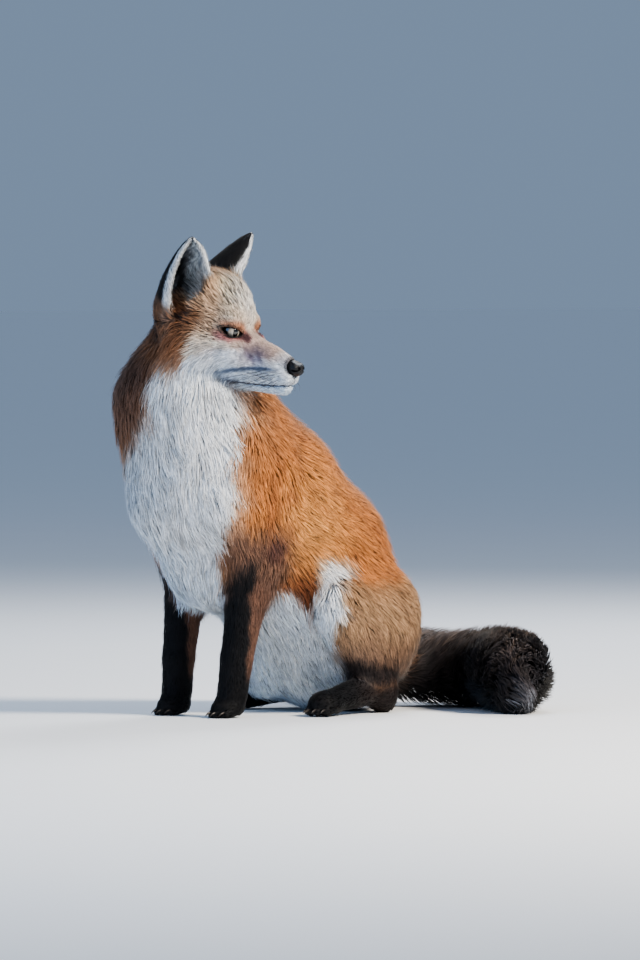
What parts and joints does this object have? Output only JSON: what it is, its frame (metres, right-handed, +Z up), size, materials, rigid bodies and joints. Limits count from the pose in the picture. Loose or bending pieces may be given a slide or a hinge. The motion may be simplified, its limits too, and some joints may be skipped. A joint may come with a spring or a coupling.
{
  "type": "red fox figure",
  "caption": "Life-size red fox sitting upright, looking back over its left shoulder, with its brush curled round on the ground; a still museum-style model.",
  "frame": {"origin": "on the ground, under the middle of the bounding box", "axes": "+Z up; the trunk faces -Y and the animal's left side is at +X; the head is turned about 110 degrees to its left"},
  "size_m": [0.3137, 0.49, 0.5201],
  "materials": {
    "coat": "dense fur, rust orange",
    "dark_fur": "short black fur",
    "tail_fur": "long brush fur, dark brown with a pale tip",
    "nose_skin": "moist black nose pad",
    "eye": "wet amber eyeball"
  },
  "bodies": {
    "root": {"eye_left": "eye", "eye_right": "eye", "nose": "nose_skin", "ear_left": "dark_fur", "ear_right": "dark_fur", "head": "coat", "neck": "coat", "trunk": "coat", "front_leg_left": "dark_fur", "front_leg_right": "dark_fur", "thigh_left": "coat", "thigh_right": "coat", "hind_foot_left": "dark_fur", "hind_foot_right": "dark_fur", "tail": "tail_fur"}
  },
  "joints": []
}
